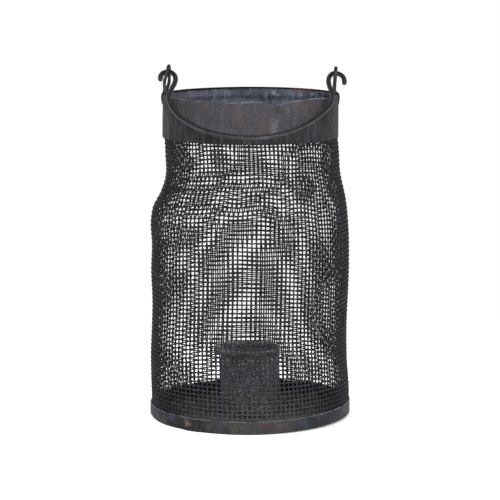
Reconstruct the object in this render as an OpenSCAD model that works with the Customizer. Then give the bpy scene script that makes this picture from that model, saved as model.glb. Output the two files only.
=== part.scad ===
// Candle lantern: a woven wire cylinder between a sheet-metal base pan and a hemmed collar,
// with a candle cup on the floor of the pan and a hooked swing handle (bail) on two wire ears.
// Millimetres, +Z up, front of the lantern towards -Y, origin at the centre of the resting face.

/* [Base pan] */
// Outside diameter of the base band
base_d = 190; // [170:1:230]
// Height of the base band
band_h = 12.7; // [10:0.1:20]
// Thickness of the sheet that the disc and the band are cut from
base_sheet = 1.2; // [0.8:0.1:1.6]
// Length of the overlap where the ends of the band meet
band_lap = 14; // [8:1:30]
// Where the ends of the band overlap, in degrees from the right-hand side
band_lap_at = 232; // [200:1:340]

/* [Collar] */
// Outside diameter of the collar
collar_d = 164.2; // [150:0.2:172]
// Height of the collar
collar_h = 40; // [30:1:60]
// Height of the top of the collar above the surface that the lantern stands on
rim_z = 304.4; // [280:0.2:340]
// Thickness of the collar's sheet
collar_sheet = 1; // [0.8:0.1:1.2]
// How far the top edge is folded down inside
hem_h = 11; // [4:0.5:14]

/* [Wire cloth] */
// Diameter of the cloth's wires
wire_d = 1.3; // [0.8:0.1:1.6]
// Distance between neighbouring upright wires round the body
warp_pitch = 4.4; // [3.6:0.1:6]
// Distance between neighbouring hoop wires
weft_pitch = 4.07; // [3.6:0.01:6]
// Clearance between crossing wires
cloth_gap = 0.2; // [0.2:0.05:0.4]
// Height where the body starts to draw in to the neck
shoulder_low = 195; // [170:1:200]
// Height where the neck starts
shoulder_high = 230; // [222:1:244]
// Reach of the body to the left of the centre line
body_left = 93.5; // [91:0.1:93.5]
// Reach of the body to the right of the centre line
body_right = 92.4; // [91:0.1:93.5]
// Reach of the neck to the left of the centre line
neck_left = 79.7; // [78:0.1:80.9]
// Reach of the neck to the right of the centre line
neck_right = 80.9; // [78:0.1:80.9]
// Length of cloth that is tucked up inside the collar
tuck = 9; // [4:0.5:20]
// Upright wires that lie double where the edges of the cloth overlap
lap_wires = 3; // [0:1:5]

/* [Candle cup] */
// Inside diameter of the cup
cup_bore_d = 51.6; // [40:0.1:60]
// Thickness of the cup's wall
cup_wall = 1; // [0.8:0.1:2]
// Height of the cup's mouth above the base disc
cup_h = 62.8; // [40:0.1:80]
// Diameter of the drip lip round the mouth
lip_d = 60; // [57:0.5:70]
// How far the drip lip sits off centre
lip_shift = 2.4; // [0:0.1:2.6]
// Thickness of the drip lip
lip_t = 4.5; // [1:0.1:6]

/* [Ears] */
// Diameter of the wire that the ears are bent from
ear_wire_d = 3.5; // [2.5:0.1:4]
// Distance between the two legs of an ear
ear_legs = 11; // [10:0.5:14]
// Thickness of the flattened tail of an ear
tail_t = 1.3; // [1:0.1:1.6]
// Height of the tail on the outside of the collar
tail_h = 10; // [6:1:24]
// Twist of the left ear about its own length
left_twist = 18; // [0:1:20]
// Height of the left ear above the rim
left_ear_h = 27.7; // [26:0.1:30]
// Height of the right ear above the rim
right_ear_h = 26.1; // [26:0.1:30]

/* [Bail] */
// Diameter of the bail's rod
bail_rod_d = 4.7; // [4:0.1:4.8]
// Height of the hinge line above the rim
pivot_rise = 19.9; // [19:0.1:19.9]
// Angle of the bail below level where it rests on the rim
rest_angle = 26; // [25:0.1:26]
// Distance from the hinge line to the middle of the bail
bail_drop = 115.5; // [115.3:0.1:115.8]
// Centre-line radius of the left hook
left_hook_r = 8.3; // [7.8:0.1:8.6]
// Centre-line radius of the right hook
right_hook_r = 7.8; // [7.5:0.1:8.6]
// Straight length at the tip of the left hook
left_tip = 5.5; // [3:0.5:10]
// Straight length at the tip of the right hook
right_tip = 11.5; // [3:0.5:12]

/* [Hidden] */
$fn = 96;

iron = "#4b4a52";       // blued sheet iron of the pan and collar
cloth_iron = "#3a3a3f"; // wire cloth
rod_iron = "#55555c";   // forged rod of the bail and ears
cup_iron = "#4a4850";   // grainy cup

seat_gap = 0.05;        // clearance between pieces of the fixed body that seat on each other
base_r = base_d / 2;
collar_r = collar_d / 2;
collar_low = rim_z - collar_h;
wire_fn = 24;
hoop_sides = 8;         // a hoop wire is rolled with eight flats, the uprights are round

// ---- the surface that the cloth follows ------------------------------------------------
// The cloth is an upright body and an upright neck with a slope, the shoulder, between them.
// Each level is a circle, given by its reach to the left and to the right of the centre line.
cloth_low = base_sheet;
cloth_top = collar_low + tuck;
draw_left = body_left - neck_left;
draw_right = body_right - neck_right;

// How far a side that draws in by d in all has drawn in at height z
function drawn(z, d) =
    d * min(1, max(0, (z - shoulder_low) / (shoulder_high - shoulder_low)));

// Distance across from an upright's centre to a hoop's, where wires cross on such a side
function layer(z, d) =
    let(on_slope = z > shoulder_low && z < shoulder_high)
    (wire_d + cloth_gap) / cos(on_slope ? atan(d / (shoulder_high - shoulder_low)) : 0);

// ---- wires -----------------------------------------------------------------------------
warp_inset = 1.5 * wire_d + cloth_gap; // from the outside of the cloth to an upright's centre
warp_r = (body_left + body_right) / 2 - warp_inset;
warp_count = round(2 * PI * warp_r / warp_pitch);
weft_low = cloth_low + wire_d / 2 + seat_gap;
weft_count = floor((cloth_top - wire_d - weft_low) / weft_pitch) + 1;

// A wire turns at a ball, a touch fatter than itself, and the stretches on either side of it
// end inside it
ball_ratio = 1.07;
joint_gap = 0.12;

module rod_ball(d) {
    sphere(d = d * ball_ratio, $fn = wire_fn);
}

// A value on the left of the centre line and one on the right, blended round to direction a
function blend(a, left, right) = (left + right) / 2 + (right - left) / 2 * cos(a);

// One upright wire in the X-Z plane, bent at the foot and at the top of the shoulder
module warp_wire(body_x, draw) {
    points = [for (z = [cloth_low, shoulder_low, shoulder_high, cloth_top]) [body_x - drawn(z, draw), z]];
    last = len(points) - 1;
    for (i = [0 : last - 1]) {
        run = points[i + 1] - points[i];
        low_gap = i == 0 ? 0 : joint_gap;
        high_gap = i == last - 1 ? 0 : joint_gap;
        translate([points[i].x, 0, points[i].y]) {
            rotate([0, atan2(run.x, run.y), 0]) translate([0, 0, low_gap])
                cylinder(d = wire_d, h = norm(run) - low_gap - high_gap, $fn = wire_fn);
            if (i > 0) rod_ball(wire_d);
        }
    }
}

module warp_wires() {
    step = 360 / warp_count;
    lap_start = 90 - step * lap_wires / 2;
    color(cloth_iron) {
        for (i = [0 : warp_count - 1]) cloth_upright(i * step);
        if (lap_wires > 0)
            for (i = [0 : lap_wires - 1]) cloth_upright((floor(lap_start / step) + i + 0.5) * step);
    }
}

module cloth_upright(a) {
    rotate([0, 0, a])
        warp_wire(blend(a, body_left, body_right) - warp_inset, blend(a, draw_left, draw_right));
}

// Hoops lie outside and inside the uprights by turns
module weft_wires() {
    color(cloth_iron)
        for (i = [0 : weft_count - 1]) {
            z = weft_low + i * weft_pitch;
            side = i % 2 == 0 ? 1 : -1;
            left = body_left - warp_inset - drawn(z, draw_left) + side * layer(z, draw_left);
            right = body_right - warp_inset - drawn(z, draw_right) + side * layer(z, draw_right);
            translate([(right - left) / 2, 0, z])
                rotate_extrude() translate([(left + right) / 2, 0]) circle(d = wire_d, $fn = hoop_sides);
        }
}

// ---- base pan --------------------------------------------------------------------------
module base_disc() {
    color(iron) cylinder(r = base_r - base_sheet - seat_gap, h = base_sheet);
}

// A strip bent into a hoop, with a rounded top edge, whose outer end laps over the inner one
module base_band() {
    lap_angle = band_lap / base_r * 180 / PI;
    color(iron) {
        rotate_extrude() translate([base_r - base_sheet, 0]) strip_section(base_sheet, band_h);
        rotate_extrude(angle = lap_angle, start = band_lap_at)
            translate([base_r, 0]) strip_section(base_sheet, band_h);
    }
}

module strip_section(t, h) {
    square([t, h - t / 2]);
    translate([t / 2, h - t / 2]) circle(d = t, $fn = wire_fn);
}

// ---- collar ----------------------------------------------------------------------------
// Rolled sheet whose top edge is folded inwards over itself
module collar() {
    t = collar_sheet;
    color(iron) rotate_extrude() {
        translate([collar_r - t, collar_low]) square([t, collar_h - t]);
        translate([collar_r - 2 * t, rim_z - hem_h]) square([t, hem_h - t]);
        translate([collar_r - t, rim_z - t]) circle(r = t, $fn = wire_fn);
    }
}

// ---- candle cup ------------------------------------------------------------------------
module candle_cup() {
    cup_r = cup_bore_d / 2 + cup_wall;
    color(cup_iron) translate([0, 0, base_sheet]) difference() {
        union() {
            cylinder(r = cup_r, h = cup_h);
            translate([-lip_shift, 0, cup_h - lip_t]) cylinder(d = lip_d, h = lip_t);
        }
        translate([0, 0, cup_wall]) cylinder(d = cup_bore_d, h = cup_h);
    }
}

// ---- bail ------------------------------------------------------------------------------
// The bail lies in one plane. Its path starts at its middle, heading along +X, and is a list
// of bends [radius, turn]: a turn of 0 is a straight of that length, a positive one goes left.
pivot_z = rim_z + pivot_rise;
right_bow = [[66.6, 31], [88, 50], [10, 15]];
left_bow = [[73.6, 59.5], [105, 17.5], [24, 27.5]];
right_curl = 95;
left_curl = 96;

// Where a path [x, y, heading] is after one more bend
function after_bend(at, bend) =
    let(side = sign(bend[1]), turned = at.z + bend[1])
    side == 0 ? [at.x + bend[0] * cos(at.z), at.y + bend[0] * sin(at.z), at.z]
    : [at.x + side * bend[0] * (sin(turned) - sin(at.z)),
       at.y - side * bend[0] * (cos(turned) - cos(at.z)), turned];

function after_bow(bow) = after_bend(after_bend(after_bend([0, -bail_drop, 0], bow[0]), bow[1]), bow[2]);

// Length of the arm that brings the top of the hook to the hinge line
function arm_length(bow, hook_r) =
    let(at = after_bow(bow)) (hook_r * (cos(at.z) - 1) - at.y) / sin(at.z);

// Distance of the hook's top from the middle of the lantern
function hook_x(bow, hook_r) =
    let(at = after_bow(bow)) at.x + arm_length(bow, hook_r) * cos(at.z) + hook_r * sin(at.z);

left_hook_x = hook_x(left_bow, left_hook_r);
right_hook_x = hook_x(right_bow, right_hook_r);

// Where a path stands before each bend, and at its end
function joints(path, at) =
    len(path) == 0 ? [at]
    : concat([at], joints([for (i = [1 : 1 : len(path) - 1]) path[i]], after_bend(at, path[0])));

// Where two stretches of the bail meet, a short sleeve a touch fatter than the rod covers both ends
sleeve_ratio = 1.04;
sleeve_l = 0.8;

module rod_sleeve(d) {
    rotate([0, 90, 0]) cylinder(d = d * sleeve_ratio, h = sleeve_l, center = true, $fn = wire_fn);
}

// A rod in the X-Y plane along a path, with a rounded tip
module bent_rod(path, start, d) {
    at = joints(path, start);
    last = len(path) - 1;
    for (i = [0 : last]) {
        r = path[i][0];
        turn = path[i][1];
        if (turn == 0)
            translate([at[i].x, at[i].y, 0]) rotate([0, 0, at[i].z]) translate([joint_gap, 0, 0])
                rotate([0, 90, 0]) cylinder(d = d, h = r - 2 * joint_gap, $fn = wire_fn);
        else {
            side = sign(turn);
            trim = joint_gap / r * 180 / PI;
            translate([at[i].x - side * r * sin(at[i].z), at[i].y + side * r * cos(at[i].z), 0])
                rotate_extrude(angle = abs(turn) - 2 * trim,
                    start = (turn > 0 ? at[i].z - 90 : at[i + 1].z + 90) + trim)
                    translate([r, 0]) circle(d = d, $fn = wire_fn);
        }
        translate([at[i + 1].x, at[i + 1].y, 0]) {
            if (i < last) rotate([0, 0, at[i + 1].z]) rod_sleeve(d);
            else rod_ball(d);
        }
    }
}

module bail_half(bow, hook_r, curl, tip) {
    heading = after_bow(bow).z;
    path = concat(bow, [[arm_length(bow, hook_r), 0], [hook_r, -heading - curl], [tip, 0]]);
    bent_rod(path, [0, -bail_drop, 0], bail_rod_d);
}

module bail() {
    color(rod_iron) translate([0, 0, pivot_z]) rotate([rest_angle, 0, 0]) {
        translate([0, -bail_drop, 0]) rod_sleeve(bail_rod_d);
        bail_half(right_bow, right_hook_r, right_curl, right_tip);
        mirror([1, 0, 0]) bail_half(left_bow, left_hook_r, left_curl, left_tip);
    }
}

// ---- ears ------------------------------------------------------------------------------
// A hairpin of wire stands on the rim, and its flattened tails are folded over the rim and
// down the outside of the collar
ear_foot_r = collar_r - collar_sheet;
tail_angle = 2 * atan((ear_legs / 2 + ear_wire_d / 2 + 1) / collar_r);

module ear(hook, h, twist) {
    lean = atan((ear_foot_r - hook) / pivot_rise);
    bend_r = ear_legs / 2;
    leg_h = (h - ear_wire_d / 2) / cos(lean) - bend_r;
    color(rod_iron) {
        translate([ear_foot_r, 0, rim_z]) rotate([0, -lean, 0]) rotate([0, 0, twist]) {
            for (side = [-1, 1])
                translate([0, side * bend_r, tail_t / 2]) cylinder(d = ear_wire_d, h = leg_h - tail_t / 2);
            translate([0, 0, leg_h]) rotate([90, 0, 90])
                rotate_extrude(angle = 180) translate([bend_r, 0]) circle(d = ear_wire_d, $fn = wire_fn);
        }
        rotate_extrude(angle = tail_angle, start = -tail_angle / 2) tail_section();
    }
}

module tail_section() {
    outer = collar_r + seat_gap;
    top = rim_z + seat_gap;
    translate([outer, rim_z - tail_h]) square([tail_t, tail_h + tail_t + seat_gap]);
    translate([ear_foot_r - ear_wire_d / 2, top]) square([outer - ear_foot_r + ear_wire_d / 2 + tail_t, tail_t]);
}

module ear_right() {
    ear(right_hook_x, right_ear_h, 0);
}

module ear_left() {
    mirror([1, 0, 0]) ear(left_hook_x, left_ear_h, left_twist);
}

base_disc();
base_band();
warp_wires();
weft_wires();
collar();
ear_left();
ear_right();
bail();
candle_cup();
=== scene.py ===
"""Candle lantern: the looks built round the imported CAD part. Lengths here are in millimetres
until mesh_object() turns them into metres. The front of the lantern is towards -Y. A direction
is called a, in radians round the centre line from the right-hand side."""

import math

import bpy
import numpy as np
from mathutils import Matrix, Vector


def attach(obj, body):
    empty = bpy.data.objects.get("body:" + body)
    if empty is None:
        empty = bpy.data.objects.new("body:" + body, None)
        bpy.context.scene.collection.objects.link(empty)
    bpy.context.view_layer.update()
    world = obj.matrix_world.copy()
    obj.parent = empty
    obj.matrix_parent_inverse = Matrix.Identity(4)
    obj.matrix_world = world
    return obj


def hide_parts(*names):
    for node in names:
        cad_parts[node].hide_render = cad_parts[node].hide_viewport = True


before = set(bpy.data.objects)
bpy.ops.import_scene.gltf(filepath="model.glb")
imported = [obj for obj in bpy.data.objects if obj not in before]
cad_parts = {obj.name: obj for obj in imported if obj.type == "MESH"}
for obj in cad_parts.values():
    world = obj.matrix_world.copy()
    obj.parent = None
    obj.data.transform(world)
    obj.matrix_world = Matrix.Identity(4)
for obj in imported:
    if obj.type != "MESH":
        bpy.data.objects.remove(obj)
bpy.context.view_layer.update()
MM = 0.001
TAU = 2 * math.pi

# ---- sizes shared with the CAD source ----------------------------------------------------
BASE_R, BAND_H, SHEET = 95.0, 12.7, 1.2
BAND_LAP, BAND_LAP_AT = 14.0, math.radians(232)
COLLAR_R, COLLAR_H, RIM_Z, COLLAR_SHEET, HEM_H = 82.1, 40.0, 304.4, 1.0, 11.0
COLLAR_LOW = RIM_Z - COLLAR_H
SEAT_GAP, TUCK = 0.05, 9.0
WEFT_PITCH, WEFT_COUNT, WARP_COUNT, LAP_WIRES = 4.07, 67, 130, 3
CLOTH_LOW, CLOTH_TOP = SHEET, COLLAR_LOW + TUCK
BAIL_R, PIVOT_Z, REST_ANGLE = 2.35, RIM_Z + 19.9, math.radians(26)
EAR_R, EAR_BEND_R, TAIL_H = 1.75, 5.5, 10.0
CUP_BORE_R, CUP_WALL, CUP_H, LIP_R, LIP_SHIFT, LIP_T = 25.8, 1.0, 62.8, 30.0, 2.4, 4.5


# ---- meshes ------------------------------------------------------------------------------
def mesh_object(name, verts, faces, body, node, materials, parts=None):
    """A smooth-shaded mesh piece that rides on a body and stands for a CAD node. parts gives
    the number of each face's material."""
    mesh = bpy.data.meshes.new(name)
    mesh.from_pydata((np.asarray(verts) * MM).tolist(), [], faces)
    mesh.polygons.foreach_set("use_smooth", [True] * len(mesh.polygons))
    for material in materials:
        mesh.materials.append(material)
    if parts is not None:
        mesh.polygons.foreach_set("material_index", np.asarray(parts, np.int32))
    mesh.update()
    piece = bpy.data.objects.new(name, mesh)
    bpy.context.scene.collection.objects.link(piece)
    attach(piece, body)
    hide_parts(node)
    return piece


def grid_faces(rows, columns, close_rows=False, close_columns=False, first=0):
    """Quads of a grid whose vertex number is first + row * columns + column."""
    r = np.arange(rows if close_rows else rows - 1)
    c = np.arange(columns if close_columns else columns - 1)
    rr, cc = np.meshgrid(r, c, indexing="ij")
    r2, c2 = (rr + 1) % rows, (cc + 1) % columns
    corners = [rr * columns + cc, rr * columns + c2, r2 * columns + c2, r2 * columns + cc]
    return (np.stack(corners, -1).reshape(-1, 4) + first).tolist()


def ring_faces(rows, columns):
    """Faces of rings of vertices that follow each other, with a flat face on the first and the
    last. They face outwards where the rings go up on the outside."""
    last = (rows - 1) * columns
    caps = [list(range(columns))[::-1], [last + c for c in range(columns)]]
    return grid_faces(rows, columns, close_columns=True) + caps


def turned_over(faces):
    """The same faces, facing the other way."""
    return [face[::-1] for face in faces]


def ring(r, a, z):
    """Points at radius r, direction a and height z."""
    return np.stack(np.broadcast_arrays(r * np.cos(a), r * np.sin(a), z), -1)


def round_from(a, middle):
    """How far direction a is from the middle one, between -pi and pi."""
    return np.mod(a - middle + math.pi, TAU) - math.pi


def bell(x, width):
    return np.exp(-((x / width) ** 2))


def length_along(path):
    """How far along a path each of its points lies."""
    return np.concatenate([[0], np.cumsum(np.linalg.norm(np.diff(path, axis=0), axis=1))])


def unit(v):
    return v / np.maximum(np.linalg.norm(v, axis=-1, keepdims=True), 1e-12)


def tubes(points, normals, radius, sides, closed=False):
    """Vertices and faces of tubes along points[wire, step], with flat ends on open ones."""
    wires, steps = points.shape[:2]
    if closed:
        along = np.roll(points, -1, 1) - np.roll(points, 1, 1)
    else:
        along = np.gradient(points, axis=1)
    along = unit(along)
    out = unit(normals - along * np.sum(normals * along, -1, keepdims=True))
    across = np.cross(along, out)
    phi = np.arange(sides) * TAU / sides
    radius = np.broadcast_to(np.asarray(radius, float), points.shape[:2])[..., None, None]
    circle = out[..., None, :] * np.cos(phi)[:, None]
    circle = circle + across[..., None, :] * np.sin(phi)[:, None]
    verts = (points[..., None, :] + radius * circle).reshape(-1, 3)
    faces = []
    for w in range(wires):
        first = w * steps * sides
        faces += grid_faces(steps, sides, closed, True, first)
        if not closed:
            end = first + (steps - 1) * sides
            faces.append(list(range(first, first + sides))[::-1])
            faces.append(list(range(end, end + sides)))
    return verts, faces


class Waves:
    """A smooth seeded field over direction a (radians) and height z (mm), about -1 to 1."""

    def __init__(self, seed, count, turns, lengths):
        rng = np.random.default_rng(seed)
        self.m = rng.integers(turns[0], turns[1] + 1, count)
        self.k = TAU / rng.uniform(*lengths, count) * rng.choice([-1, 1], count)
        self.phase = rng.uniform(0, TAU, count)
        self.gain = rng.uniform(0.5, 1, count)
        self.gain /= math.sqrt(np.sum(self.gain**2) / 2) * 2

    def __call__(self, a, z):
        a, z = np.broadcast_arrays(np.asarray(a, float), np.asarray(z, float))
        total = np.zeros(a.shape)
        for m, k, phase, gain in zip(self.m, self.k, self.phase, self.gain):
            total += gain * np.sin(m * a + k * z + phase)
        return total


# ---- materials ---------------------------------------------------------------------------
def nodes_of(name):
    material = bpy.data.materials.new(name)
    material.use_nodes = True
    return material, material.node_tree.nodes, material.node_tree.links


def ramp(nodes, links, source, stops):
    node = nodes.new("ShaderNodeValToRGB")
    links.new(source, node.inputs[0])
    elements = node.color_ramp.elements
    while len(elements) < len(stops):
        elements.new(0.5)
    for element, (at, colour) in zip(elements, stops):
        element.position = at
        element.color = (*colour, 1) if len(colour) == 3 else colour
    return node.outputs[0]


def grey(value):
    return (value, value, value)


def noise(nodes, links, vector, scale, detail=4, roughness=0.55):
    node = nodes.new("ShaderNodeTexNoise")
    links.new(vector, node.inputs["Vector"])
    node.inputs["Scale"].default_value = scale
    node.inputs["Detail"].default_value = detail
    node.inputs["Roughness"].default_value = roughness
    return node.outputs[0]


def mix(nodes, links, factor, a, b, blend="MIX"):
    node = nodes.new("ShaderNodeMix")
    node.data_type = "RGBA"
    node.blend_type = blend
    for socket, value in ((node.inputs[0], factor), (node.inputs[6], a), (node.inputs[7], b)):
        if isinstance(value, bpy.types.NodeSocket):
            links.new(value, socket)
        elif isinstance(value, (int, float)):
            socket.default_value = value
        else:
            socket.default_value = (*value, 1)
    return node.outputs[2]


def distance_from_origin(nodes, links, vector):
    node = nodes.new("ShaderNodeVectorMath")
    node.operation = "LENGTH"
    links.new(vector, node.inputs[0])
    return node.outputs["Value"]


def add_bump(nodes, links, shader, source, strength, distance):
    """A bump, distance metres high, on top of the ones that the shader has."""
    node = nodes.new("ShaderNodeBump")
    node.inputs["Strength"].default_value = strength
    node.inputs["Distance"].default_value = distance
    links.new(source, node.inputs["Height"])
    if shader.inputs["Normal"].links:
        links.new(shader.inputs["Normal"].links[0].from_socket, node.inputs["Normal"])
    links.new(node.outputs[0], shader.inputs["Normal"])


# Where the strength of a place starts to fall and where it ends, as shares of its size
FIRM_EDGE = (0.84, 0.98)
RAGGED_EDGE = (0.62, 0.98)
RAGGED_SHARE = 0.42  # how much of a ragged place's edge is its outline, the rest being noise


def lay_places(nodes, links, coordinates, ragged, colour, places):
    """Lays places on a colour, each (centre, half size, tint, strength) in millimetres. They are
    ragged, unless a fifth value says that the edge is firm."""
    for centre, reach, tint, strength, *firm in places:
        place = nodes.new("ShaderNodeMapping")
        place.inputs["Location"].default_value = [-c / r for c, r in zip(centre, reach)]
        place.inputs["Scale"].default_value = [1 / (r * MM) for r in reach]
        links.new(coordinates, place.inputs[0])
        away, (full, none) = distance_from_origin(nodes, links, place.outputs[0]), FIRM_EDGE
        if not firm:
            edge = nodes.new("ShaderNodeMath")
            edge.operation = "MULTIPLY_ADD"
            edge.inputs[1].default_value = RAGGED_SHARE
            links.new(away, edge.inputs[0])
            links.new(ragged, edge.inputs[2])
            away, (full, none) = edge.outputs[0], RAGGED_EDGE
        amount = ramp(nodes, links, away, [(full, grey(strength)), (none, grey(0))])
        colour = mix(nodes, links, amount, colour, tint)
    return colour


def lay_patches(nodes, links, coordinates, colour, patches):
    """Scatters patches on a colour, each (tint, patches per metre, low, high): there is nothing
    of them where the noise is under low, and they are full where it is over high."""
    for number, (tint, size, low, high) in enumerate(patches):
        shift = nodes.new("ShaderNodeMapping")
        offset = (0.37 * (number + 1), -0.21 * number, 0.11 * number)
        shift.inputs["Location"].default_value = offset
        links.new(coordinates, shift.inputs[0])
        spread = noise(nodes, links, shift.outputs[0], size, 5, 0.6)
        amount = ramp(nodes, links, spread, [(low, grey(0)), (high, grey(1))])
        colour = mix(nodes, links, amount, colour, tint)
    return colour


STREAKS_PER_METRE, STREAK_SQUEEZE, STREAK_STRENGTH = 260, 0.12, 0.8


def lay_streaks(nodes, links, coordinates, colour, tint, low, high):
    """Upright streaks of a tint, where the noise is between low and high."""
    drawn_out = nodes.new("ShaderNodeMapping")
    drawn_out.inputs["Scale"].default_value = (1, 1, STREAK_SQUEEZE)
    links.new(coordinates, drawn_out.inputs[0])
    spread = noise(nodes, links, drawn_out.outputs[0], STREAKS_PER_METRE, 4, 0.65)
    amount = ramp(nodes, links, spread, [(low, grey(0)), (high, grey(STREAK_STRENGTH))])
    return mix(nodes, links, amount, colour, tint)


def lay_painted_top_shade(nodes, links, colour, top_shade):
    """Painted shade: darkens the sides that are turned upwards to the given share."""
    normal = nodes.new("ShaderNodeSeparateXYZ")
    links.new(nodes.new("ShaderNodeTexCoord").outputs["Normal"], normal.inputs[0])
    upper = ramp(nodes, links, normal.outputs["Z"], [(0.22, grey(1)), (0.6, grey(top_shade))])
    return mix(nodes, links, 1.0, colour, upper, "MULTIPLY")


MOTTLE_BUMP, GRAIN_BUMP = 0.0006, 0.0002  # heights in metres
RAGS_PER_METRE = 170


def iron(name, dark, light, size, rough, bump, grain=900, metallic=0.1, specular=0.2,
         patches=(), places=(), streaks=None, top_shade=None):
    """Oxidised iron, mottled from dark to light. Size and grain are features per metre, rough
    is the roughness of the dark and the light, and bump the strength of mottle and grain.
    Patches, places, streaks and the painted shade on upper sides are laid on as the functions
    above say."""
    material, nodes, links = nodes_of(name)
    shader = nodes["Principled BSDF"]
    shader.inputs["Metallic"].default_value = metallic
    shader.inputs["Specular IOR Level"].default_value = specular
    coordinates = nodes.new("ShaderNodeTexCoord").outputs["Object"]
    mottle = noise(nodes, links, coordinates, size, 6, 0.62)
    colour = ramp(nodes, links, mottle, [(0.3, dark), (0.72, light)])
    colour = lay_patches(nodes, links, coordinates, colour, patches)
    if places:
        ragged = noise(nodes, links, coordinates, RAGS_PER_METRE, 4, 0.65)
        colour = lay_places(nodes, links, coordinates, ragged, colour, places)
    if streaks:
        colour = lay_streaks(nodes, links, coordinates, colour, *streaks)
    fine = noise(nodes, links, coordinates, grain, 3, 0.6)
    shade = ramp(nodes, links, fine, [(0.3, grey(0.65)), (0.7, grey(1.35))])
    colour = mix(nodes, links, 1.0, colour, shade, "MULTIPLY")
    if top_shade:
        colour = lay_painted_top_shade(nodes, links, colour, top_shade)
    links.new(colour, shader.inputs["Base Color"])
    roughness = ramp(nodes, links, mottle, [(0.3, grey(rough[0])), (0.75, grey(rough[1]))])
    links.new(roughness, shader.inputs["Roughness"])
    add_bump(nodes, links, shader, mottle, bump[0], MOTTLE_BUMP)
    add_bump(nodes, links, shader, fine, bump[1], GRAIN_BUMP)
    return material


RUST = (0.06, 0.034, 0.028)
BROWN = (0.066, 0.053, 0.05)
OLIVE = (0.05, 0.05, 0.034)
BLUE = (0.04, 0.05, 0.078)
PALE = (0.2, 0.22, 0.27)
BLACK = (0.006, 0.006, 0.006)

sheet_iron = iron(
    "sheet_iron", (0.011, 0.011, 0.013), (0.028, 0.027, 0.032), 60, (0.65, 0.5), (0.35, 0.25),
    specular=0.1,
    patches=[(BROWN, 24, 0.64, 0.8)],
    streaks=((0.095, 0.092, 0.105), 0.5, 0.85),
    places=[
        # painted light: the face that the bail frames is lighter, so the collar outside and below
        # the bail looks shadowed by it
        ((0, -82, 306), (82, 90, 38), (0.068, 0.065, 0.075), 0.7, True),
        # a red stain at the left, brown and olive ones along the face
        ((-41.6, -70.8, 297.4), (5, 6, 4), (0.09, 0.045, 0.045), 0.65),
        ((-12, -81, 290), (7, 6, 12), BROWN, 0.8),
        ((13, -81, 286), (8, 6, 10), BROWN, 0.85),
        ((51.7, -63.8, 298.6), (13, 12, 5), BROWN, 0.8),
        ((-60, -55, 292), (9, 9, 10), OLIVE, 0.5),
        # painted shade in the crease, a painted highlight below it, and painted shade along the
        # foot
        ((30, -76.5, 293.5), (3, 5, 3.5), BLACK, 0.75),
        ((25, -78, 296), (2.5, 5, 5), (0.03, 0.03, 0.032), 0.7),
        ((22, -79, 279), (4, 5, 9), (0.13, 0.13, 0.15), 0.6),
        ((0, -82, 268), (90, 30, 5), (0.02, 0.02, 0.022), 0.6),
    ],
)
# The inside's iron is painted lighter and bluer than the outside's, a painted reflection.
inner_iron_with_painted_reflection = iron(
    "collar_inside", (0.036, 0.041, 0.058), (0.12, 0.13, 0.178), 60, (0.55, 0.4), (0.3, 0.2),
    patches=[(RUST, 26, 0.62, 0.74), ((0.07, 0.07, 0.075), 34, 0.56, 0.66)],
    streaks=(PALE, 0.52, 0.74),
    places=[
        # rust under the rim, and pale flakes
        ((50, 62, 302.5), (18, 14, 2.4), (0.13, 0.05, 0.045), 0.9),
        ((23, 77, 299), (3, 6, 2.6), PALE, 0.9),
        ((26.5, 76, 297), (3, 6, 1.6), PALE, 0.9),
        ((49, 63, 298), (2.5, 5, 1.2), PALE, 0.9),
        ((60, 53, 299.6), (2.5, 5, 1.6), PALE, 0.9),
        # a grey stretch at the left, black at the right, painted shade under the rim, and the
        # hem's shade
        ((-55, 58, 299), (20, 20, 4), (0.1, 0.1, 0.115), 0.7),
        ((71, 38, 299), (8, 16, 3), BLACK, 0.9),
        ((-45, 68, 303.8), (75, 50, 2.6), BLACK, 0.95),
        ((0, 80, 295), (110, 60, 2.2), (0.03, 0.033, 0.045), 0.6),
    ],
)
# Painted shade on the far side of the rim's fold; its red-brown place is rust.
painted_shade_edge = iron(
    "painted_shade_edge", (0.002, 0.002, 0.002), (0.009, 0.008, 0.009), 80, (0.8, 0.7), (0.3, 0.3),
    specular=0.03,
    places=[((50, 62, 304), (18, 14, 4), (0.08, 0.035, 0.03), 0.8)],
)
# A painted highlight along the near side of the rim's fold and the band's top edge.
painted_highlight_edge = iron(
    "painted_highlight_edge", (0.04, 0.04, 0.045), (0.125, 0.125, 0.138), 160, (0.55, 0.4), (0.4, 0.3),
    patches=[((0.02, 0.02, 0.022), 70, 0.5, 0.6)],
)
band_iron = iron(
    "band_iron", (0.009, 0.009, 0.011), (0.027, 0.026, 0.03), 70, (0.65, 0.5), (0.5, 0.35),
    specular=0.14,
    patches=[(BROWN, 30, 0.6, 0.72), (RUST, 26, 0.66, 0.76)],
    streaks=((0.06, 0.06, 0.072), 0.55, 0.8),
    places=[
        # painted light on the front of the band
        ((8, -95, 8), (56, 40, 20), (0.05, 0.048, 0.053), 0.75),
        ((-57, -76, 7), (4, 4, 4), (0.17, 0.125, 0.1), 0.85),
        ((-15.5, -94, 7), (8, 6, 5), OLIVE, 0.9),
        ((15.5, -94, 8), (8, 6, 4), RUST, 0.9),
        ((28, -91, 7), (4, 4, 4), BROWN, 0.8),
        ((-72, -61, 9), (7, 7, 4), BLUE, 0.7),
        ((48, -82, 9), (9, 9, 4), BLUE, 0.5),
        ((-37, -87, 6), (6, 6, 4), (0.045, 0.045, 0.042), 0.7),
    ],
)
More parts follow.
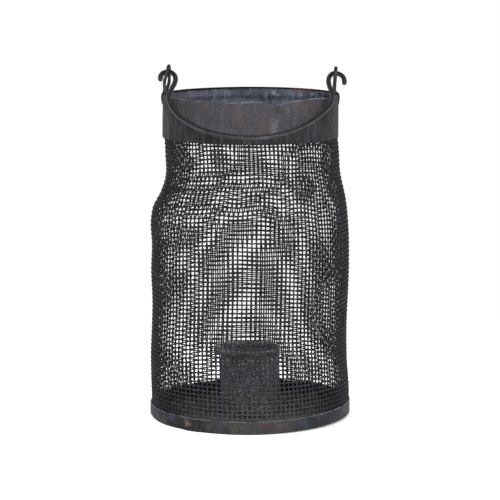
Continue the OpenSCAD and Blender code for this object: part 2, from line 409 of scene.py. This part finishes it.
cloth_iron = iron(
    "wire_cloth", (0.009, 0.009, 0.01), (0.024, 0.024, 0.027), 45, (0.6, 0.45), (0.2, 0.3),
    grain=1500,
    patches=[((0.04, 0.034, 0.033), 60, 0.6, 0.72)],
    places=[
        # painted light on the wires low in front
        ((0, -92, 8), (80, 50, 80), (0.046, 0.044, 0.049), 0.7),
        ((0, -90, 6), (85, 45, 30), (0.07, 0.066, 0.069), 0.7),
    ],
)
# Forged rod for the bail and ears, with painted shade on its upper sides.
rod_iron = iron(
    "forged_rod", (0.026, 0.026, 0.029), (0.075, 0.073, 0.082), 90, (0.5, 0.35), (0.5, 0.3),
    grain=1200, specular=0.07, patches=[(RUST, 80, 0.66, 0.76)], top_shade=0.02,
)
floor_iron = iron(
    "pan_floor", (0.006, 0.006, 0.006), (0.02, 0.019, 0.019), 50, (0.85, 0.7), (0.4, 0.4),
    patches=[((0.04, 0.028, 0.02), 22, 0.52, 0.66)],
    # painted light on the front of the pan's floor
    places=[((0, -42, 1), (100, 36, 9), (0.085, 0.083, 0.093), 0.85)],
)


# ---- wire cloth --------------------------------------------------------------------------
# How far the cloth reaches to each side, as (height, reach) along its outline
LEFT_OUTLINE = [
    (1, 93.2), (50, 94.6), (115, 92.8), (138, 93.7), (162, 92.8), (188, 93.5),
    (198, 91.6), (210, 85.3), (226, 79.8), (248, 79.7), (274, 81.0),
]
RIGHT_OUTLINE = [
    (1, 93.5), (20, 94.5), (55, 92.3), (80, 91.9), (145, 93.8),
    (175, 93.3), (205, 90.5), (232, 84.9), (252, 83.6), (274, 81.2),
]
CLOTH_HALF = 1.4  # from the middle of the cloth to its outside
WIRE_R = 0.69  # the wires are drawn a touch fatter than the CAD's
UPRIGHT_BEND = 0.56  # how far the uprights weave out and in; the hoops bend more
CROWDING = 0.09  # how much closer than even the uprights stand on the right
POINTS_PER_CROSS, WIRE_SIDES = 3, 6
WEFT_LOW = CLOTH_LOW + WIRE_R + SEAT_GAP
MEAN_REACH = 90.0
# How far the loosest cloth is crumpled out and in, to the sides, and up and down
CRUMPLE, SWAY, LIFT, SMALL = 1.1, 1.7, 1.5, 0.2
crumple = Waves(11, 22, (3, 13), (45, 160))
sway = Waves(12, 26, (2, 12), (50, 220))
lift = Waves(13, 26, (2, 14), (50, 200))
small_sway = Waves(14, 30, (14, 44), (14, 40))
small_lift = Waves(15, 30, (14, 44), (14, 40))


def looseness(z):
    """How crumpled the cloth is at height z: held at the pan and the collar, loosest between."""
    free_of_pan = np.clip((z - 10) / 30, 0, 1)
    free_of_collar = np.clip((COLLAR_LOW + 2 - z) / 14, 0, 1)
    return free_of_pan * free_of_collar * (0.14 + 0.86 * np.clip((z - 110) / 90, 0, 1))


def smooth_line(x, knots):
    """The value at x of a smooth line through knots, each (x, value)."""
    at, value = np.array(knots, float).T
    slope = np.gradient(value, at)
    i = np.clip(np.searchsorted(at, x) - 1, 0, len(at) - 2)
    width = at[i + 1] - at[i]
    t = np.clip((x - at[i]) / width, 0, 1)
    start = (1 + 2 * t) * (1 - t) ** 2 * value[i] + t * (1 - t) ** 2 * width * slope[i]
    end = t * t * (3 - 2 * t) * value[i + 1] - t * t * (1 - t) * width * slope[i + 1]
    return start + end


def cloth_surface(a, z):
    """Points on the middle of the cloth at direction a and height z."""
    left = smooth_line(z, LEFT_OUTLINE) - CLOTH_HALF
    right = smooth_line(z, RIGHT_OUTLINE) - CLOTH_HALF
    radius = (left + right) / 2
    # the outline itself stays as given, so the crumple fades towards both sides
    radius = radius + CRUMPLE * crumple(a, z) * looseness(z) * (1 - np.abs(np.cos(a)) ** 4)
    points = ring(radius, a, z)
    points[..., 0] += (right - left) / 2
    return points


def cloth_points(a, z):
    """Points and outward normals of the cloth where an undisturbed one would be at a, z."""
    a, z = np.broadcast_arrays(np.asarray(a, float), np.asarray(z, float))
    loose = looseness(z) * (1 - 0.85 * np.cos(a) ** 4)
    aside = SWAY * sway(a, z) + SMALL * loose * small_sway(a, z)
    a2 = a - CROWDING * np.sin(a) + loose * aside / MEAN_REACH
    z2 = z + loose * (LIFT * lift(a, z) + SMALL * loose * small_lift(a, z))
    step = 0.5
    up = cloth_surface(a2, z2 + step) - cloth_surface(a2, z2 - step)
    turn = step / MEAN_REACH
    side = cloth_surface(a2 + turn, z2) - cloth_surface(a2 - turn, z2)
    return cloth_surface(a2, z2), unit(np.cross(side, up))


def cloth_uprights(name, numbers, doubled=()):
    """Uprights that weave through the hoops. The doubled ones, where the edges of the cloth
    overlap, lie straight on its inside."""
    cross = np.arange((WEFT_COUNT - 1) * POINTS_PER_CROSS + 1) / POINTS_PER_CROSS
    z = np.concatenate([[CLOTH_LOW], WEFT_LOW + cross * WEFT_PITCH, [CLOTH_TOP]])
    turn = np.concatenate([[cross[0]], cross, [cross[-1]]])
    place = np.array([*numbers, *doubled], float)[:, None]
    points, normals = cloth_points(place * TAU / WARP_COUNT, z[None])
    side = UPRIGHT_BEND * np.cos(math.pi * (turn[None] + place))
    side[len(numbers):] = -3 * WIRE_R
    verts, faces = tubes(points + normals * side[..., None], normals, WIRE_R, WIRE_SIDES)
    mesh_object(name, verts, faces, "lantern", "warp_wires", [cloth_iron])


def cloth_hoops(name, numbers):
    turn = np.arange(WARP_COUNT * POINTS_PER_CROSS)[None] / POINTS_PER_CROSS
    place = np.array(numbers)[:, None]
    points, normals = cloth_points(turn * TAU / WARP_COUNT, WEFT_LOW + place * WEFT_PITCH)
    side = -(2 * WIRE_R - UPRIGHT_BEND) * np.cos(math.pi * (turn + place))
    verts, faces = tubes(points + normals * side[..., None], normals, WIRE_R, WIRE_SIDES, True)
    mesh_object(name, verts, faces, "lantern", "weft_wires", [cloth_iron])


half = WARP_COUNT // 2
lap = WARP_COUNT / 4 - LAP_WIRES / 2
cloth_uprights("cloth_uprights_front", range(half, WARP_COUNT))
cloth_uprights("cloth_uprights_back", range(half), [int(lap) + i for i in range(LAP_WIRES)])
cloth_hoops("cloth_hoops_low", range(WEFT_COUNT // 2))
cloth_hoops("cloth_hoops_high", range(WEFT_COUNT // 2, WEFT_COUNT))


# ---- collar ------------------------------------------------------------------------------
OUTSIDE, INSIDE, SHADED_EDGE, LIT_EDGE = range(4)  # the parts of the collar, each with an iron of its own
# The rim is knocked down beside the front, and a crease runs down from there. The places are
# millimetres round from the front, to the right.
KNOCK_AT, KNOCK_DROP, KNOCK_IN = 23.8, 3.5, 0.9
CREASE_AT, CREASE_SLANT, CREASE_DEPTH = 18, 0.62, 1.7
FULLER_RIGHT = 0.7  # how much fuller the collar is on the right


def collar_outline():
    """The collar's outline as (radius, height): its outside from the foot up, the fold, and its
    inside from the hem down."""
    t = COLLAR_SHEET
    hem_low = RIM_Z - HEM_H
    outside = [(COLLAR_R - 0.25, COLLAR_LOW), (COLLAR_R, COLLAR_LOW + 0.3)]
    outside += [(COLLAR_R, z) for z in np.linspace(COLLAR_LOW + 1.5, RIM_Z - 3, 30)]
    fold = [
        (COLLAR_R - t + t * math.cos(f), RIM_Z - t + t * math.sin(f))
        for f in np.linspace(0, math.pi, 11)
    ]
    inside = [(COLLAR_R - 2 * t, z) for z in np.linspace(RIM_Z - 1.6, hem_low + 2, 7)]
    inside += [(COLLAR_R - 1.7 * t, hem_low + 0.6), (COLLAR_R - 1.45 * t, hem_low)]
    inside += [(COLLAR_R - t, z) for z in np.linspace(hem_low - 1.5, COLLAR_LOW + 1.5, 14)]
    inside += [(COLLAR_R - t, COLLAR_LOW + 0.3), (COLLAR_R - 0.75, COLLAR_LOW)]
    return outside, fold, inside


def worn_collar(r, a, z):
    """The collar's points, with its wear."""
    arc = round_from(a, -math.pi / 2) * COLLAR_R
    height = z - COLLAR_LOW
    up = height / COLLAR_H
    knock = bell(arc - KNOCK_AT, np.where(arc < KNOCK_AT, 7.5, 14))
    # the rim's own waves, of which the back has none
    wavy = 0.9 * bell(arc + 26, 26) - 0.9 * bell(arc - 62, 14)
    wavy = wavy + 0.3 * Waves(22, 12, (3, 16), (80, 200))(a, 0 * a)
    fade = bell(np.maximum(np.abs(arc) - 95, 0), 15)
    drop = KNOCK_DROP * knock + np.maximum(wavy + 0.45, -0.6) * fade
    drop = drop * np.clip(up * 1.25 - 0.25, 0, 1)
    dents = -0.35 * (Waves(21, 14, (2, 9), (60, 200))(a, z) + 1) * np.clip(height / 6, 0, 1)
    crease = arc - CREASE_AT - CREASE_SLANT * (height - 12)
    pressed = bell(crease, np.where(crease < 0, 9, 2.6)) * np.clip(up * 1.5 - 0.2, 0, 1)
    dents = dents - CREASE_DEPTH * pressed * bell(height - 31, 17)
    dents = dents - KNOCK_IN * knock * np.clip(up * 2 - 1, 0, 1)
    low_edge = 0.5 * (Waves(23, 12, (3, 20), (80, 200))(a, 0 * a) + 0.4)
    low_edge = np.clip(low_edge * np.clip(1 - up * 6, 0, 1), 0, 1)
    right = bell(round_from(a, 0), 0.8)
    r = r + np.minimum(dents, 0) * (1 - right) + FULLER_RIGHT * right
    return ring(r, a, z - drop + low_edge)


def collar():
    columns = 360
    outside, fold, inside = collar_outline()
    r, z = np.array(outside + fold + inside).T
    a = np.arange(columns) * TAU / columns
    verts = worn_collar(r[:, None], a[None], z[:, None])
    faces = grid_faces(len(r), columns, True, True)
    row, column = np.divmod(np.arange(len(faces)), columns)
    # painted shade on the fold where the edge is far away, a painted highlight where it is near
    behind = np.sin((column + 0.5) * TAU / columns)
    on_edge = np.where(behind > -0.12, SHADED_EDGE, np.where(behind < -0.3, LIT_EDGE, OUTSIDE))
    parts = np.where(row > len(outside), on_edge, OUTSIDE)
    parts = np.where(row >= len(outside + fold), INSIDE, parts)
    mesh_object("hemmed_collar", verts.reshape(-1, 3), faces, "lantern", "collar",
                [sheet_iron, inner_iron_with_painted_reflection, painted_shade_edge, painted_highlight_edge], parts)


collar()


# ---- bail --------------------------------------------------------------------------------
# Points that the rod's centre line runs through, from the tip of a hook to the middle of the bail:
# distance from the middle of the lantern and distance below the hinge line, in the bail's plane
RIGHT = [
    (87.4, 21), (87.4, 13.5), (86.3, 7.8), (83.7, 3.7), (80.4, 1.7), (77.0, 2.5), (74.0, 7.8),
    (72.8, 16), (73.5, 26), (75.7, 40), (72.9, 59), (62.8, 78), (49.0, 94.6), (32.2, 107.4),
    (14.0, 113.9), (0, 115.3),
]
LEFT = [
    (83.2, 14.2), (83.1, 7.0), (81.4, 1.7), (78.7, -0.4), (75.6, -0.6), (72.4, 1.6), (69.9, 6.7),
    (69.1, 13.1), (69.9, 20.5), (71.9, 29), (74.0, 40), (74.3, 47), (71.4, 62.5), (62.0, 82.4),
    (43.2, 101.6), (22.5, 111.8), (0, 115.3),
]
ROD_SIDES, TIP_LENGTH = 16, 1.6


def smooth_path(points, spacing=0.8):
    """An even, smooth curve (Catmull-Rom) through points."""
    p = np.array(points, float)
    p = np.concatenate([[2 * p[0] - p[1]], p, [2 * p[-1] - p[-2]]])
    t = np.linspace(0, 1, 24, endpoint=False)[:, None]
    runs = []
    for a, b, c, d in zip(p, p[1:], p[2:], p[3:]):
        bend = 2 * a - 5 * b + 4 * c - d + t * (3 * (b - c) + d - a)
        runs.append(b + 0.5 * t * (c - a + t * bend))
    curve = np.concatenate([*runs, p[-2:-1]])
    length = length_along(curve)
    even = np.linspace(0, length[-1], round(length[-1] / spacing))
    return np.stack([np.interp(even, length, curve[:, i]) for i in range(2)], -1)


def bail():
    right, left = np.array(RIGHT), np.array(LEFT)
    path = smooth_path(np.concatenate([left * [-1, -1], right[-2::-1] * [1, -1]]))
    length = length_along(path)
    # forged by hand, so its thickness wanders, and its tips are rounded
    rng = np.random.default_rng(31)
    wobble = sum(np.sin(length / rng.uniform(5, 30) + rng.uniform(0, TAU)) for _ in range(7)) / 7
    radius = BAIL_R - 0.1 + 0.12 * wobble
    for tip in length[[0, -1]]:
        near = np.clip(1 - np.abs(length - tip) / TIP_LENGTH, 0, 1)
        radius = radius * np.sqrt(1 - near**2 * 0.8)
    y = path[:, 1] * math.cos(REST_ANGLE)
    z = PIVOT_Z + path[:, 1] * math.sin(REST_ANGLE)
    points = np.stack([path[:, 0], y, z], -1)[None]
    normals = np.array([0, -math.sin(REST_ANGLE), math.cos(REST_ANGLE)]) + 0 * points
    verts, faces = tubes(points, normals, radius[None], ROD_SIDES)
    mesh_object("bail_rod", verts, faces, "handle", "bail", [rod_iron])


bail()


# ---- ears --------------------------------------------------------------------------------
EAR_SIDES, TAIL_COLUMNS = 14, 17


def hairpin(side, top_x, height, foot_x, twist):
    """Vertices and faces of an ear's wire loop. It stands on the rim at foot_x, leans to top_x
    and is twisted about its own length."""
    lean = math.atan((foot_x - top_x) / height)
    leg = (height - EAR_R) / math.cos(lean) - EAR_BEND_R
    up = np.linspace(1.2, leg, 20)
    loop = np.linspace(0, math.pi, 25)[1:-1]
    spread = EAR_BEND_R * (1 - 0.12 * np.sin(math.pi * np.clip(up / leg, 0, 1)))
    y = np.concatenate([spread, EAR_BEND_R * np.cos(loop), -spread[::-1]])
    z = np.concatenate([up, leg + EAR_BEND_R * np.sin(loop), up[::-1]])
    turn = twist * (0.25 + 0.75 * bell(z / leg - 0.55, 0.3))
    x, y = -y * np.sin(turn), y * np.cos(turn)
    c, s = math.cos(lean), math.sin(lean)
    points = np.stack([x * c - z * s + foot_x, y, x * s + z * c + RIM_Z], -1)[None]
    number = np.arange(points.shape[1])
    from_foot = np.minimum(number, number[::-1])
    radius = EAR_R - 0.2 + 0.06 * np.sin(number / 2.3 + side) + 0.5 * bell(from_foot, 1.6)
    outwards = np.array([1.0, 0.0, 0.0]) + 0 * points
    return tubes(points, outwards, radius[None], EAR_SIDES)


def hammered_tail(foot_x, outer):
    """Vertices and faces of an ear's hammered tail: thick over the rim, thinner and narrower
    down the outside of the collar, which is at radius outer."""
    # its underside as (radius, height over the rim), with its thickness
    path = [
        (foot_x - EAR_R, 0.05, 1.2), (foot_x - EAR_R + 1.0, 0.05, 3.0), (foot_x + 0.5, 0.05, 3.6),
        (outer - 2.2, 0.05, 2.6), (outer - 1, 0.05, 1.4), (outer - 0.15, -0.1, 0.8),
        (outer, -0.7, 0.8),
    ]
    path += [
        (outer, -TAIL_H * share, 1.15 - 0.85 * abs(share - 0.3) / 0.7)
        for share in np.linspace(0.15, 1, 10)
    ]
    path = np.array(path)
    step = unit(np.gradient(path[:, :2], axis=0))
    face_out = np.stack([-step[:, 1], step[:, 0]], -1)
    down = np.linspace(0, 1, len(path))
    across = np.linspace(-1, 1, TAIL_COLUMNS)
    half_angle = math.atan((EAR_BEND_R + EAR_R + 1) / COLLAR_R)
    wide = 0.92 + 0.1 * np.sin(math.pi * down) - 0.3 * np.clip(down - 0.75, 0, 1) ** 2 / 0.06
    a = half_angle * wide[:, None] * across[None]
    thickness = path[:, 2, None] * (1 - 0.6 * np.abs(across) ** 5)
    grids = []
    for thick in (thickness, 0 * thickness):
        p = path[:, None, :2] + face_out[:, None] * thick[..., None]
        grids.append(ring(p[..., 0], a, RIM_Z + p[..., 1]))
    rows, columns = a.shape
    count = rows * columns
    faces = turned_over(grid_faces(rows, columns)) + grid_faces(rows, columns, first=count)
    # the border runs round the grid, and joins its two sides
    number = np.arange(count).reshape(rows, columns)
    border = [*number[0], *number[1:, -1], *number[-1, -2::-1], *number[-2:0:-1, 0]]
    border = [int(i) for i in border]
    for i, j in zip(border, border[1:] + border[:1]):
        faces.append([i, j, j + count, i + count])
    return np.concatenate([g.reshape(-1, 3) for g in grids]), faces


def ear(name, node, side, top_x, height, foot_x, twist, tail_out):
    """A hairpin and its tail, made on the right and mirrored where side is -1."""
    loop, loop_faces = hairpin(side, top_x, height, foot_x, twist)
    tail, tail_faces = hammered_tail(foot_x, COLLAR_R + tail_out)
    verts = np.concatenate([loop, tail])
    faces = loop_faces + [[i + len(loop) for i in face] for face in tail_faces]
    if side < 0:
        verts = verts * [-1, 1, 1]
        faces = turned_over(faces)
    mesh_object(name, verts, faces, "lantern", node, [rod_iron])


ear("wire_ear_right", "ear_right", 1, 80.2, 25.9, 78.4, 0.0, 0.75)
ear("wire_ear_left", "ear_left", -1, 75.4, 27.7, 79.2, math.radians(25), 0.05)


# ---- base pan ----------------------------------------------------------------------------
PAN_LIFT, PAN_LIFT_AT = 3.0, math.radians(355)
LOW_EDGE_LIFT, LOW_EDGE_LIFT_AT = 1.6, 3.23  # the band's lower edge is bent up at the left


def pan_lift(a):
    """The pan is bent a little: its edge stands higher on the right."""
    return PAN_LIFT * bell(round_from(a, PAN_LIFT_AT), 0.95)


def pan_band():
    """The strip round the base, with its two ends lapped."""
    columns = 360
    turn = np.linspace(0, TAU + BAND_LAP / BASE_R, columns)
    a = BAND_LAP_AT + turn
    # the outer end slides out over the inner one
    slide_out = SHEET * np.clip((turn - (TAU - 0.06)) / 0.06, 0, 1)
    right = bell(round_from(a, 0), 0.6)
    dent = -0.22 * (1 + Waves(51, 14, (3, 14), (60, 200))(a, 0 * a)) * (1 - right)
    top = BAND_H - 0.35 - 0.3 * Waves(52, 16, (3, 24), (60, 200))(a, 0 * a) ** 2
    low = LOW_EDGE_LIFT * bell(round_from(a, LOW_EDGE_LIFT_AT), 0.28)
    # the strip's outline: how deep inside the outer face, and which share of its height
    shares = (0.0, 0.03, 0.3, 0.6, 0.93)
    outline = [(0.0, share) for share in shares]
    outline += [(0.2, 0.985), (0.6, 1.0), (1.0, 0.985)]
    outline += [(SHEET, share) for share in (0.93, 0.6, 0.3, 0.0)]
    rows = []
    for depth, share in outline:
        z = pan_lift(a) + low + (top - low) * share
        rows.append(ring(BASE_R + slide_out - depth + dent, a, z))
    count = len(rows)
    faces = grid_faces(count, columns, close_rows=True)
    band_row = np.arange(len(faces)) // (columns - 1)
    # the rows of the top edge get the painted highlight
    worn = (band_row >= len(shares) - 1) & (band_row < len(shares) + 3)
    first = [row * columns for row in range(count)]
    faces += [first, [i + columns - 1 for i in first][::-1]]
    parts = [*worn.astype(int), 0, 0]
    mesh_object("pan_band", np.stack(rows).reshape(-1, 3), faces, "lantern",
                "base_band", [band_iron, painted_highlight_edge], parts)


def pan_floor():
    """The pan's floor, a beaten disc that follows the bend of the band."""
    columns = 240
    a = np.arange(columns) * TAU / columns
    edge = BASE_R - SHEET - SEAT_GAP
    beaten = Waves(55, 24, (1, 9), (20, 70))
    top = [(r, 1) for r in (*np.linspace(2, edge - 1, 40), edge - 0.3, edge)]
    underside = [(r, 0) for r in (edge, edge - 1, 60, 30, 2)]
    rows = []
    for r, side in top + underside:
        z = SHEET * side + pan_lift(a) * (r / edge) ** 3
        z = z - 0.12 * (1 + beaten(a, r + 0 * a)) * side * min(1, (edge - r) / 4)
        rows.append(ring(r - 0.45 if r > edge - 0.5 else r, a, z))
    faces = turned_over(ring_faces(len(rows), columns))
    mesh_object("pan_floor", np.stack(rows).reshape(-1, 3), faces, "lantern",
                "base_disc", [floor_iron])


pan_band()
pan_floor()


# ---- candle cup --------------------------------------------------------------------------
def cup_material():
    material, nodes, links = nodes_of("grainy_cup")
    shader = nodes["Principled BSDF"]
    shader.inputs["Metallic"].default_value = 0.15
    coordinates = nodes.new("ShaderNodeTexCoord").outputs["Object"]
    grains = noise(nodes, links, coordinates, 640, 3, 0.7)
    broad = noise(nodes, links, coordinates, 60, 4, 0.6)
    colour = ramp(nodes, links, grains, [
        (0.36, (0.02, 0.02, 0.024)), (0.53, (0.085, 0.085, 0.104)), (0.66, (0.48, 0.48, 0.54)),
    ])
    tint = ramp(nodes, links, broad, [(0.35, (0.7, 0.7, 0.75)), (0.7, (1.2, 1.15, 1.12))])
    colour = mix(nodes, links, 1.0, colour, tint, "MULTIPLY")
    # painted shade under the lip, all round, the lip's front darker, and rust on its left
    colour = lay_places(nodes, links, coordinates, broad, colour, [
        ((0, 0, SHEET + CUP_H - LIP_T - 1), (150, 150, 1.6), BLACK, 0.6),
        ((0, -31, SHEET + CUP_H - 0.5), (50, 9, 2.6), (0.022, 0.022, 0.027), 0.75),
        ((-31, -6, 61), (7, 14, 5), (0.07, 0.036, 0.036), 0.7),
    ])
    links.new(colour, shader.inputs["Base Color"])
    roughness = ramp(nodes, links, grains, [(0.3, grey(0.85)), (0.75, grey(0.5))])
    links.new(roughness, shader.inputs["Roughness"])
    add_bump(nodes, links, shader, grains, 0.6, 0.0005)
    return material


FULLER_CUP, FULLER_LIP = 0.6, 1.1  # how much the cup and its lip swell before they are worn


def candle_cup():
    columns = 160
    a = np.arange(columns) * TAU / columns
    outer = CUP_BORE_R + CUP_WALL
    mouth = SHEET + CUP_H
    grain, rough = Waves(61, 30, (20, 90), (4, 12)), Waves(62, 14, (2, 9), (20, 60))
    body = [(outer - 1.5, SHEET), (outer, SHEET + 0.6)]
    body += [(outer, z) for z in np.linspace(SHEET + 2, mouth - LIP_T - 0.6, 26)]
    rows = []
    for r, z in body:
        worn = 0.12 * (1 + grain(a, z + 0 * a))
        rows.append(ring(r + FULLER_CUP - worn - 0.15 * (1 + rough(a, z + 0 * a)), a, z))
    # the lip is ragged, and hangs down at the left
    rag = Waves(63, 20, (3, 22), (20, 60))(a, 0 * a)
    left = np.clip(-np.cos(a - 0.25), 0, 1) ** 2
    # the lip's outline, as shares of how far it stands out and of its thickness
    lip = [(0, -0.04), (0.45, -0.06), (0.85, 0.1), (1, 0.4), (0.97, 0.75), (0.8, 0.95), (0.6, 1)]
    for out, up in lip:
        reach = outer + (LIP_R + FULLER_LIP - outer) * out - 0.5 * (1 + rag) * out
        hang = (-2.2 * left + 0.5 * rag) * (1 - up) * out
        z = mouth - LIP_T + LIP_T * up - 0.12 * (1 + rag) * (up > 0.5) + hang
        rows.append(ring(reach, a, z) - [LIP_SHIFT * out, 0, 0])
    inner = [(CUP_BORE_R + 0.5, mouth - 0.1), (CUP_BORE_R + 0.1, mouth - 0.8)]
    inner += [(CUP_BORE_R, z) for z in np.linspace(mouth - 4, SHEET + CUP_WALL + 0.4, 8)]
    inner += [(CUP_BORE_R * share, SHEET + CUP_WALL) for share in (0.98, 0.7, 0.35, 0.02)]
    rows += [ring(r, a, z) for r, z in inner]
    mesh_object("grainy_cup", np.stack(rows).reshape(-1, 3), ring_faces(len(rows), columns),
                "lantern", "candle_cup", [cup_material()])


candle_cup()


# ---- stage, light, camera ----------------------------------------------------------------
FLOOR_REACH, FLOOR_SIDES, FLOOR_GLOW = 6.0, 96, 0.35  # the reach in metres
SOFT_LIGHT = 0.4
LENS, SENSOR = 162.5, 36
CAMERA_AT, CAMERA_TILT = (0, -2.1066, 0.4814), math.radians(81.235)  # metres


def white_for_camera(nodes, links, plain, white_shader):
    """Shows white_shader to camera, glossy and transmission rays, and plain to the rest."""
    path = nodes.new("ShaderNodeLightPath")
    seen = path.outputs["Is Camera Ray"]
    for other in ("Is Glossy Ray", "Is Transmission Ray"):
        both = nodes.new("ShaderNodeMath")
        both.operation = "MAXIMUM"
        links.new(seen, both.inputs[0])
        links.new(path.outputs[other], both.inputs[1])
        seen = both.outputs[0]
    chosen = nodes.new("ShaderNodeMixShader")
    links.new(seen, chosen.inputs[0])
    links.new(plain, chosen.inputs[1])
    links.new(white_shader, chosen.inputs[2])
    return chosen.outputs[0]


def white_emission(nodes, strength=1.0):
    glow = nodes.new("ShaderNodeEmission")
    glow.inputs["Strength"].default_value = strength
    return glow.outputs[0]


def floor_material():
    """Pale, and fading into the white background away from the lantern."""
    material, nodes, links = nodes_of("floor")
    shader = nodes["Principled BSDF"]
    shader.inputs["Roughness"].default_value = 0.9
    shader.inputs["Specular IOR Level"].default_value = 0.0
    coordinates = nodes.new("ShaderNodeTexCoord").outputs["Object"]
    speckle = noise(nodes, links, coordinates, 300, 3, 0.6)
    pale = ramp(nodes, links, speckle, [(0.3, grey(0.78)), (0.7, grey(0.82))])
    links.new(pale, shader.inputs["Base Color"])
    lit = nodes.new("ShaderNodeAddShader")
    links.new(shader.outputs[0], lit.inputs[0])
    links.new(white_emission(nodes, FLOOR_GLOW), lit.inputs[1])
    away = distance_from_origin(nodes, links, coordinates)
    faded = nodes.new("ShaderNodeMixShader")
    links.new(ramp(nodes, links, away, [(0.2, grey(0)), (0.62, grey(1))]), faded.inputs[0])
    links.new(lit.outputs[0], faded.inputs[1])
    links.new(white_emission(nodes), faded.inputs[2])
    shown = white_for_camera(nodes, links, shader.outputs[0], faded.outputs[0])
    links.new(shown, nodes["Material Output"].inputs[0])
    return material


def stage():
    """A round floor under the lantern."""
    directions = np.arange(FLOOR_SIDES) * TAU / FLOOR_SIDES
    mesh = bpy.data.meshes.new("floor")
    mesh.from_pydata(ring(FLOOR_REACH, directions, 0).tolist(), [], [list(range(FLOOR_SIDES))])
    mesh.materials.append(floor_material())
    floor = bpy.data.objects.new("floor", mesh)
    bpy.context.scene.collection.objects.link(floor)


def studio():
    """Soft light from all round, and a white background for the camera."""
    world = bpy.data.worlds.new("studio")
    bpy.context.scene.world = world
    world.use_nodes = True
    nodes, links = world.node_tree.nodes, world.node_tree.links
    soft, white = nodes["Background"], nodes.new("ShaderNodeBackground")
    for background, strength in ((soft, SOFT_LIGHT), (white, 1.0)):
        background.inputs["Color"].default_value = (1, 1, 1, 1)
        background.inputs["Strength"].default_value = strength
    shown = white_for_camera(nodes, links, soft.outputs[0], white.outputs[0])
    links.new(shown, nodes["World Output"].inputs[0])


def lamp(name, at, size, power, target=(0, 0, 0.16)):
    """A square lamp that faces the target. Metres and watts."""
    data = bpy.data.lights.new(name, "AREA")
    data.shape = "RECTANGLE"
    data.size = data.size_y = size
    data.energy = power
    light = bpy.data.objects.new(name, data)
    light.location = at
    light.rotation_euler = (Vector(target) - Vector(at)).to_track_quat("-Z", "Y").to_euler()
    bpy.context.scene.collection.objects.link(light)


def camera():
    data = bpy.data.cameras.new("camera")
    data.lens, data.sensor_width = LENS, SENSOR
    data.clip_start, data.clip_end = 0.1, 100
    view = bpy.data.objects.new("camera", data)
    view.location = CAMERA_AT
    view.rotation_euler = (CAMERA_TILT, 0, 0)
    bpy.context.scene.collection.objects.link(view)
    bpy.context.scene.camera = view


stage()
studio()
lamp("key", (-0.7, -2.0, 1.5), 1.2, 38)
lamp("fill", (1.5, -1.2, 0.9), 1.4, 18)
lamp("top", (0.1, 0.1, 2.0), 1.3, 30)
camera()
bpy.context.scene.view_settings.view_transform = "Standard"
